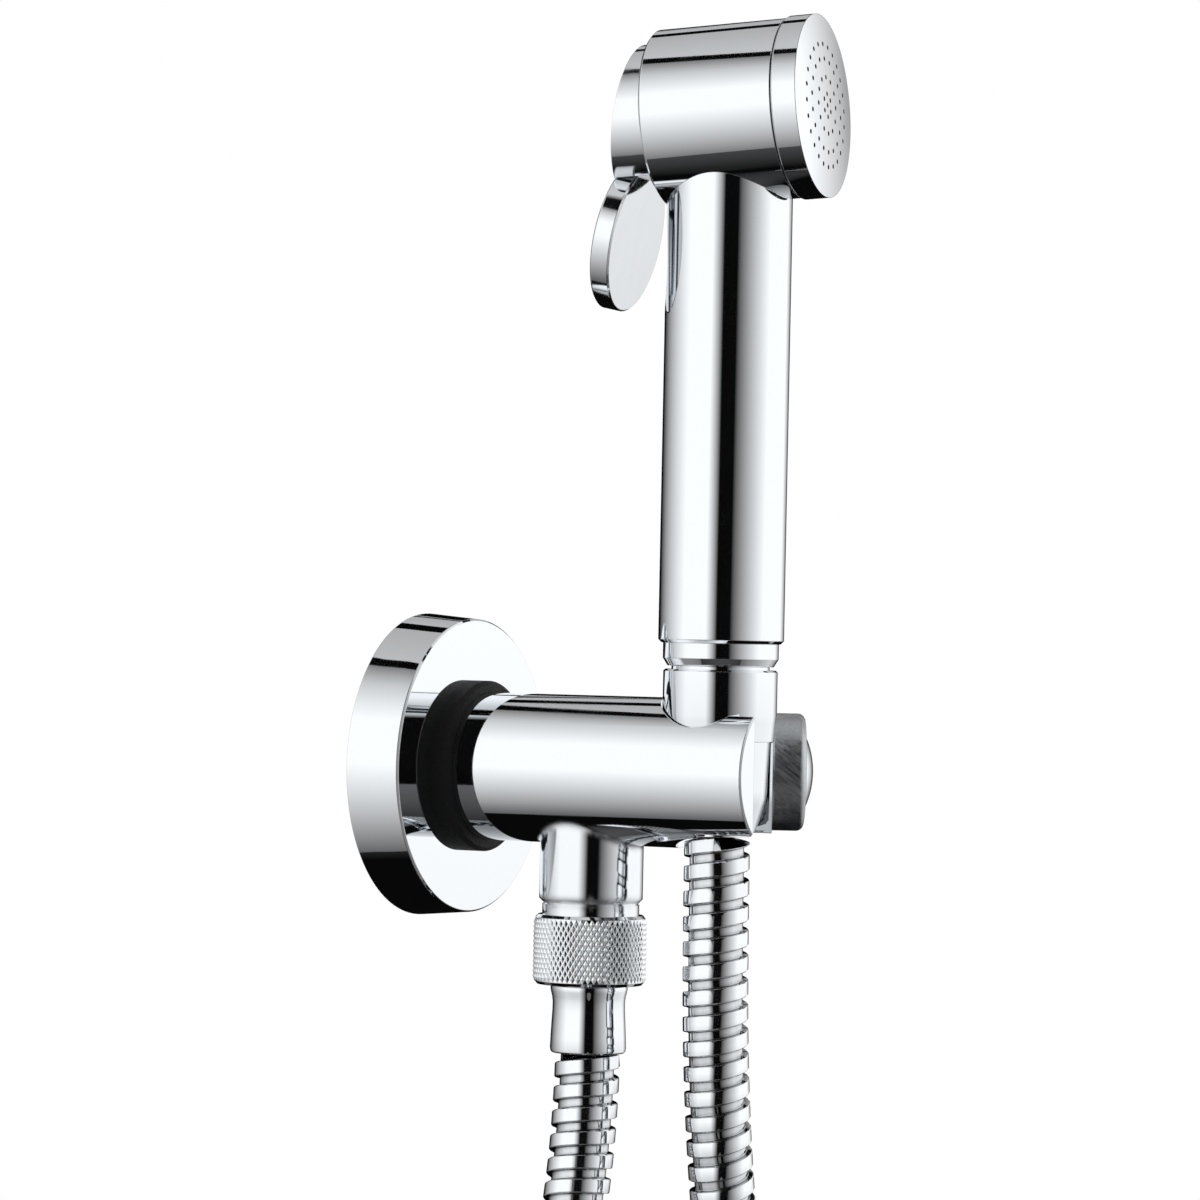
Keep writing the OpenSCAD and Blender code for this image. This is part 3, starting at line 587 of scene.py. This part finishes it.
FINISHES = {"chrome": chrome, "satin": satin, "brass": brass, "rubber": rubber,
            "ceramic": ceramic, "steel": steel, "hose_steel": strip_steel, "strap": webbing}
SPECIAL = {"valve_body": cast_chrome, "spray_cap": pierced_chrome, "trigger_lever": plate_chrome}
welder = smooth_tree()
slots = {part["node"]: part["material_slot"] for part in frame["record"]["subparts"]}
for name, node in frame["nodes"].items():
    node.data.materials.clear()
    node.data.materials.append(SPECIAL.get(name, FINISHES[slots[name]]))
    node.modifiers.new("weld_and_smooth", "NODES").node_group = welder
print("finished", len(slots), "solids")

# %% [markdown]
# ## The knurled union nut
# A knurling tool presses two crossing sets of grooves into the nut, and small four-sided
# pyramids stay between them. They repeat by a rule, so Geometry Nodes sets one pyramid at each
# point of a staggered grid that is wrapped round the nut. The plain core is turned beneath.

# %% Sizes of the nut, from its solid
nut_low, nut_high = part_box("hose_nut")
nut_axis = Vector(((nut_low.x + nut_high.x) / 2, (nut_low.y + nut_high.y) / 2, 0))
nut_radius = (nut_high.x - nut_low.x) / 2
KNURL_DEPTH = 0.38 * MM
KNURL_COUNT = 64
KNURL_PITCH = 2.1 * MM
RIM = 1.0 * MM
print("nut: radius", round(nut_radius, 5), "height", round(nut_high.z - nut_low.z, 5))


# %% A lathe for turned pieces
def lathe(name, outline, centre, body, finish, count=128, closed=True):
    """A turned piece about an upright axis, from an outline of (radius, height) in metres."""
    turned, quads = [], []
    size = len(outline)
    for k in range(count):
        angle = 2 * math.pi * k / count
        turned += [(centre.x + r * math.cos(angle), centre.y + r * math.sin(angle), z)
                   for r, z in outline]
        for j in range(size if closed else size - 1):
            n = (j + 1) % size
            a, b = k * size, (k + 1) % count * size
            quads.append((a + j, b + j, b + n, a + n))
    return tidy_mesh(mesh_object(name, turned, quads, body, finish), sharp=math.radians(30))


# %% The knurl, by Geometry Nodes
def knurl_tree():
    """One pyramid at each point of a staggered grid wrapped round a cylinder."""
    tree = bpy.data.node_groups.new("diamond_knurl", "GeometryNodeTree")
    face = tree.interface
    face.new_socket("Geometry", in_out="INPUT", socket_type="NodeSocketGeometry")
    for label, kind in (("Count", "NodeSocketInt"), ("Rows", "NodeSocketInt"),
                        ("Radius", "NodeSocketFloat"), ("Pitch", "NodeSocketFloat"),
                        ("Depth", "NodeSocketFloat"), ("Foot", "NodeSocketFloat"),
                        ("Centre", "NodeSocketVector"), ("Finish", "NodeSocketMaterial")):
        face.new_socket(label, in_out="INPUT", socket_type=kind)
    face.new_socket("Geometry", in_out="OUTPUT", socket_type="NodeSocketGeometry")
    entry = add(tree, "NodeGroupInput")
    get = entry.outputs

    def maths(operation, a, b):
        node = add(tree, "ShaderNodeMath", operation=operation)
        for slot_at, value in enumerate((a, b)):
            if isinstance(value, (int, float)):
                node.inputs[slot_at].default_value = value
            else:
                tree.links.new(value, node.inputs[slot_at])
        return node.outputs["Value"]

    index = add(tree, "GeometryNodeInputIndex").outputs["Index"]
    row = maths("FLOOR", maths("DIVIDE", index, get["Count"]), 0)
    column = maths("MODULO", index, get["Count"])
    stagger = maths("MULTIPLY", maths("MODULO", row, 2), 0.5)
    angle = maths("DIVIDE", maths("MULTIPLY", maths("ADD", column, stagger), 2 * math.pi), get["Count"])
    height = maths("ADD", get["Foot"], maths("MULTIPLY", maths("MULTIPLY", row, 0.5), get["Pitch"]))
    spot = add(tree, "ShaderNodeCombineXYZ", {
        "X": maths("MULTIPLY", maths("COSINE", angle, 0), get["Radius"]),
        "Y": maths("MULTIPLY", maths("SINE", angle, 0), get["Radius"]), "Z": height})
    place = add(tree, "ShaderNodeVectorMath", {0: spot.outputs["Vector"], 1: get["Centre"]}, operation="ADD")
    points_node = add(tree, "GeometryNodePoints", {
        "Count": maths("MULTIPLY", get["Count"], get["Rows"]), "Position": place.outputs["Vector"]})
    pyramid = add(tree, "GeometryNodeMeshCone", values={
        "Vertices": 4, "Radius Top": 0.0, "Radius Bottom": 1.0, "Depth": 1.0}, fill_type="NONE")
    turn = add(tree, "ShaderNodeCombineXYZ", {"Z": angle}, {"Y": math.pi / 2})
    width = maths("DIVIDE", maths("MULTIPLY", get["Radius"], math.pi), get["Count"])
    size = add(tree, "ShaderNodeCombineXYZ", {
        "X": maths("MULTIPLY", get["Pitch"], 0.5), "Y": width, "Z": get["Depth"]})
    placed = add(tree, "GeometryNodeInstanceOnPoints", {
        "Points": points_node.outputs["Points"], "Instance": pyramid.outputs["Mesh"],
        "Rotation": turn.outputs["Vector"], "Scale": size.outputs["Vector"]})
    real = add(tree, "GeometryNodeRealizeInstances", {"Geometry": placed.outputs["Instances"]})
    both = add(tree, "GeometryNodeJoinGeometry")
    tree.links.new(get["Geometry"], both.inputs["Geometry"])
    tree.links.new(real.outputs["Geometry"], both.inputs["Geometry"])
    done = add(tree, "GeometryNodeSetMaterial", {"Geometry": both.outputs["Geometry"], "Material": get["Finish"]})
    add(tree, "NodeGroupOutput", {"Geometry": done.outputs["Geometry"]})
    return tree


def plain_mesh(piece):
    """Turns what the modifiers give into the piece's own mesh, and removes them."""
    seen = piece.evaluated_get(bpy.context.evaluated_depsgraph_get())
    baked = bpy.data.meshes.new_from_object(seen)
    piece.modifiers.clear()
    piece.data = baked
    return piece


core_radius = nut_radius - KNURL_DEPTH
core = [
    (nut_radius - 4 * MM, nut_low.z), (core_radius - RIM * 0.6, nut_low.z),
    (core_radius, nut_low.z + RIM * 0.7), (core_radius, nut_high.z - RIM * 0.7),
    (core_radius - RIM * 0.6, nut_high.z), (nut_radius - 1.75 * MM, nut_high.z),
    (nut_radius - 1.75 * MM, nut_high.z - 9 * MM), (nut_radius - 4 * MM, nut_high.z - 9 * MM),
]
nut = lathe("knurled_nut", core, nut_axis, "root", chrome)
rows = int((nut_high.z - nut_low.z - 2 * RIM) / (KNURL_PITCH / 2))
knurl = nut.modifiers.new("diamond_knurl", "NODES")
knurl.node_group = knurl_tree()
named = {item.name: item.identifier for item in knurl.node_group.interface.items_tree
         if item.in_out == "INPUT"}
foot = (nut_low.z + nut_high.z) / 2 - (rows - 1) * KNURL_PITCH / 4
for label, value in (("Count", KNURL_COUNT), ("Rows", rows), ("Radius", core_radius - 0.02 * MM),
                     ("Pitch", KNURL_PITCH), ("Depth", KNURL_DEPTH), ("Foot", foot),
                     ("Centre", nut_axis), ("Finish", chrome)):
    knurl[named[label]] = value
plain_mesh(nut)
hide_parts("hose_nut")
print("knurled nut:", rows, "rows of", KNURL_COUNT, "and", len(nut.data.polygons), "faces")

# %% [markdown]
# The ferrule is a thin sleeve that a press squeezes on to the hose. The squeeze leaves a soft
# waist under its flared mouth and a rolled foot, so it is turned from a curved outline.

# %% The crimped ferrule
ferrule_low, ferrule_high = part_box("hose_ferrule")
ferrule_axis = Vector(((ferrule_low.x + ferrule_high.x) / 2, (ferrule_low.y + ferrule_high.y) / 2, 0))
flare = (ferrule_high.x - ferrule_low.x) / 2
SLEEVE_WALL = 1.2 * MM
# Distance below the mouth and inset from the flare, in millimetres
SQUEEZE = [(0, 0.1), (0.5, 0), (1.2, 0.1), (2.2, 0.36), (3.4, 0.52), (5.2, 0.5), (8.0, 0.34),
           (11.0, 0.2), (13.2, 0.12), (13.9, 0.25), (14.2, 0.6)]
SQUEEZE = [(down * MM * (ferrule_high.z - ferrule_low.z) / (14.2 * MM), inset * MM) for down, inset in SQUEEZE]
skin = [(flare - inset, ferrule_high.z - down) for down, inset in SQUEEZE]
lining = [(flare - inset - SLEEVE_WALL, ferrule_high.z - down) for down, inset in reversed(SQUEEZE)]
ferrule = lathe("crimped_ferrule", skin + lining, ferrule_axis, "root", chrome)
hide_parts("hose_ferrule")
print("ferrule:", len(ferrule.data.polygons), "faces, flare", round(flare, 5))

# %% [markdown]
# ## The studio
# Chrome shows its room, and this room is a set of soft boxes. One stands to each side, with a
# dark gap between them where the camera looks through. A grey ceiling lies over them behind a
# thin black seam, and ends at the rear in a second one. The floor under them is dark. Each of
# those edges is straight in the room, so each is a plane through the eye, and the sky is
# written as those planes. Only mirror-like rays see it. The camera sees plain white, and matt surfaces
# get an even white light, so that their colours render as they are written.

# %% The room as a sky
# The room has five greys, from its unlit gap to the face of a soft box
UNLIT, DIM, GREY, PALE, LIT = "#080808", "#606060", "#A0A0A0", "#C8C8C8", "#FFFFFF"
# Degrees round from the camera, positive to its right. The left box fades to the rear and the
# right one to the front
ROUND = [(-180, UNLIT), (-155, UNLIT), (-145, DIM), (-75, LIT), (-30, LIT), (-10, UNLIT), (14, UNLIT),
         (20, DIM), (80, LIT), (135, LIT), (165, UNLIT)]
# Degrees below the horizon, as the side boxes fade towards the floor
BELOW = [(-60, DIM), (0, LIT)]
# How near the side seam a ray passes, from 0 at the horizon to 1 at the seam
SEAM_FADE = [(0.4, LIT), (0.75, PALE), (1.0, DIM)]
# The ceiling, by how far the ray leans towards the camera: grey, and dark in front
CEILING = [(-1.0, GREY), (0.3, PALE), (0.4, UNLIT)]
REAR = [(-1.0, GREY), (-0.5, PALE)]
SEAM = (1.0, -0.17, 0.48)
REAR_EDGE = (0.0, -1.0, 1.0)
SEAM_HALF = 0.045
REAR_HALF = 0.15
CEILING_FROM = 0.36
FLOOR_EDGE = (0.84, 0.17, 0.52)
FLOOR_SHADES = [(0.0, UNLIT), (0.9, DIM)]
MIRROR_GAIN = 1.12


def ramp(tree, source, stops, low, high):
    """A colour ramp over a range of values."""
    scaled = add(tree, "ShaderNodeMapRange", {"Value": source}, {"From Min": low, "From Max": high})
    made = add(tree, "ShaderNodeValToRGB", {"Fac": scaled.outputs["Result"]})
    marks = made.color_ramp.elements
    while len(marks) < len(stops):
        marks.new(0.5)
    for mark, (at, grey) in zip(marks, stops):
        mark.position = (at - low) / (high - low)
    for mark, (at, grey) in zip(marks, stops):
        mark.color = linear(grey)
    return made.outputs["Color"]


def maths(tree, operation, *values):
    """A Math node on sockets and plain numbers."""
    node = add(tree, "ShaderNodeMath", operation=operation)
    for at, value in enumerate(values):
        if isinstance(value, (int, float)):
            node.inputs[at].default_value = value
        else:
            tree.links.new(value, node.inputs[at])
    return node.outputs["Value"]


def dot(tree, vector, axis):
    """How far a direction points along an axis."""
    node = add(tree, "ShaderNodeVectorMath", {0: vector}, operation="DOT_PRODUCT")
    node.inputs[1].default_value = axis
    return node.outputs["Value"]


def blend(tree, kind, factor, first, second):
    """One colour over another."""
    node = add(tree, "ShaderNodeMix", data_type="RGBA", blend_type=kind)
    for key, value in (("Factor", factor), ("A", first), ("B", second)):
        if isinstance(value, (int, float)):
            node.inputs[key].default_value = value
        elif isinstance(value, str):
            node.inputs[key].default_value = linear(value)
        else:
            tree.links.new(value, node.inputs[key])
    return node.outputs["Result"]


def edge_ratio(tree, plane, side, towards, rise):
    """How far a ray has risen to an edge of the room: 0 at the horizon, 1 on the edge."""
    run = maths(tree, "ADD", maths(tree, "MULTIPLY", side, plane[0]),
                maths(tree, "MULTIPLY", towards, plane[1]))
    return maths(tree, "DIVIDE", maths(tree, "MULTIPLY", rise, plane[2]), maths(tree, "MAXIMUM", run, 0.02))


def studio_sky():
    """The room of soft boxes, seen by mirror-like rays only."""
    world = bpy.data.worlds.new("soft_box_room")
    world.use_nodes = True
    tree = world.node_tree
    tree.nodes.clear()
    ray = add(tree, "ShaderNodeTexCoord").outputs["Generated"]
    across = dot(tree, ray, view_right)
    towards = dot(tree, ray, Vector((view_back.x, view_back.y, 0)).normalized())
    up = dot(tree, ray, Vector((0, 0, 1)))
    side = maths(tree, "ABSOLUTE", across)
    around = ramp(tree, maths(tree, "ARCTAN2", across, towards), [(math.radians(d), g) for d, g in ROUND],
                  -math.pi, math.pi)
    below = ramp(tree, maths(tree, "ARCSINE", up), [(math.radians(d), g) for d, g in BELOW],
                 -math.pi / 2, math.pi / 2)
    rise = edge_ratio(tree, SEAM, side, towards, maths(tree, "MAXIMUM", up, 0.0))
    boxes = blend(tree, "MULTIPLY", 1.0, around, below)
    boxes = blend(tree, "DARKEN", 1.0, boxes, ramp(tree, rise, SEAM_FADE, 0, 1))
    high = maths(tree, "GREATER_THAN", up, CEILING_FROM)
    back = edge_ratio(tree, REAR_EDGE, side, towards, up)
    roof = ramp(tree, towards, CEILING, -1, 0.5)
    rear = blend(tree, "MIX", maths(tree, "LESS_THAN", back, 1.0), roof, ramp(tree, towards, REAR, -1, -0.5))
    past_seam = maths(tree, "MULTIPLY", maths(tree, "GREATER_THAN", rise, 1.0), high)
    behind = maths(tree, "MULTIPLY", maths(tree, "LESS_THAN", back, 1.0),
                   maths(tree, "MULTIPLY", maths(tree, "LESS_THAN", towards, -0.5), high))
    room = blend(tree, "MIX", maths(tree, "MAXIMUM", past_seam, behind), boxes, rear)
    side_line = maths(tree, "LESS_THAN", maths(tree, "ABSOLUTE", maths(tree, "SUBTRACT", rise, 1.0)), SEAM_HALF)
    back_line = maths(tree, "MULTIPLY", maths(tree, "LESS_THAN", towards, -0.4), maths(
        tree, "LESS_THAN", maths(tree, "ABSOLUTE", maths(tree, "SUBTRACT", back, 1.0)), REAR_HALF))
    seam = maths(tree, "MULTIPLY", maths(tree, "MAXIMUM", side_line, back_line), high)
    room = blend(tree, "MIX", seam, room, "#060606")
    fall = edge_ratio(tree, FLOOR_EDGE, side, towards, maths(tree, "MAXIMUM",
                      maths(tree, "MULTIPLY", up, -1.0), 0.0))
    ground = ramp(tree, towards, FLOOR_SHADES, -0.1, 0.9)
    room = blend(tree, "MIX", maths(tree, "GREATER_THAN", fall, 1.0), room, ground)
    kind = add(tree, "ShaderNodeLightPath")
    mirror = add(tree, "ShaderNodeBackground", {"Color": room}, {"Strength": MIRROR_GAIN})
    matt = add(tree, "ShaderNodeBackground", values={"Color": (1.0, 1.0, 1.0, 1.0), "Strength": 0.85})
    plain = add(tree, "ShaderNodeBackground", values={"Color": (1.0, 1.0, 1.0, 1.0), "Strength": 1.0})
    lit = add(tree, "ShaderNodeMixShader", {"Fac": kind.outputs["Is Glossy Ray"]})
    tree.links.new(matt.outputs["Background"], lit.inputs[1])
    tree.links.new(mirror.outputs["Background"], lit.inputs[2])
    final = add(tree, "ShaderNodeMixShader", {"Fac": kind.outputs["Is Camera Ray"]})
    tree.links.new(lit.outputs["Shader"], final.inputs[1])
    tree.links.new(plain.outputs["Background"], final.inputs[2])
    add(tree, "ShaderNodeOutputWorld", {"Surface": final.outputs["Shader"]})
    return world


bpy.context.scene.world = studio_sky()
bpy.context.scene.view_settings.view_transform = "Standard"

# %% [markdown]
# A pale floor lies well below the hose. It is white to the camera like the tent, keeps a soft
# shadow of the part, and stays out of the chrome, whose underside mirrors the dark floor of the
# tent. One wide soft lamp from the upper left gives the rubber and the straps their form.

# %% Floor and lamp
FLOOR_DROP = 0.12
FLOOR_HALF = 1.1


def pale_floor():
    """A matt floor that shows white to the camera."""
    made, tree, shader = new_material("matt_pale_floor", "#F4F4F2", 0.0, 0.9)
    speckle = add(tree, "ShaderNodeTexNoise", values={"Scale": 40.0, "Detail": 3.0})
    bump = add(tree, "ShaderNodeBump", {"Height": speckle.outputs["Fac"]}, {"Distance": 0.2 * MM})
    tree.links.new(bump.outputs["Normal"], shader.inputs["Normal"])
    return made


low_corner, high_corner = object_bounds()
floor_z = low_corner[2] - FLOOR_DROP
floor_mesh = bpy.data.meshes.new("studio_floor")
floor_mesh.from_pydata([(-FLOOR_HALF, -FLOOR_HALF, floor_z), (FLOOR_HALF, -FLOOR_HALF, floor_z),
                        (FLOOR_HALF, FLOOR_HALF, floor_z), (-FLOOR_HALF, FLOOR_HALF, floor_z)],
                       [], [(0, 1, 2, 3)])
floor = bpy.data.objects.new("studio_floor", floor_mesh)
floor_mesh.materials.append(pale_floor())
bpy.context.scene.collection.objects.link(floor)
floor.visible_glossy = False

lamp_data = bpy.data.lights.new("soft_lamp", "AREA")
lamp_data.size = 0.9
lamp_data.energy = 6.0
lamp = bpy.data.objects.new("soft_lamp", lamp_data)
bpy.context.scene.collection.objects.link(lamp)
lamp_spot = -0.8 * view_right + 0.9 * view_back + Vector((0, 0, 1.1))
lamp.matrix_world = Matrix.Translation(lamp_spot) @ lamp_spot.to_track_quat("Z", "Y").to_matrix().to_4x4()
lamp.visible_glossy = False
print("floor at", round(floor_z, 3), "lamp at", tuple(round(v, 2) for v in lamp_spot))

# %% Finish
bpy.context.view_layer.update()
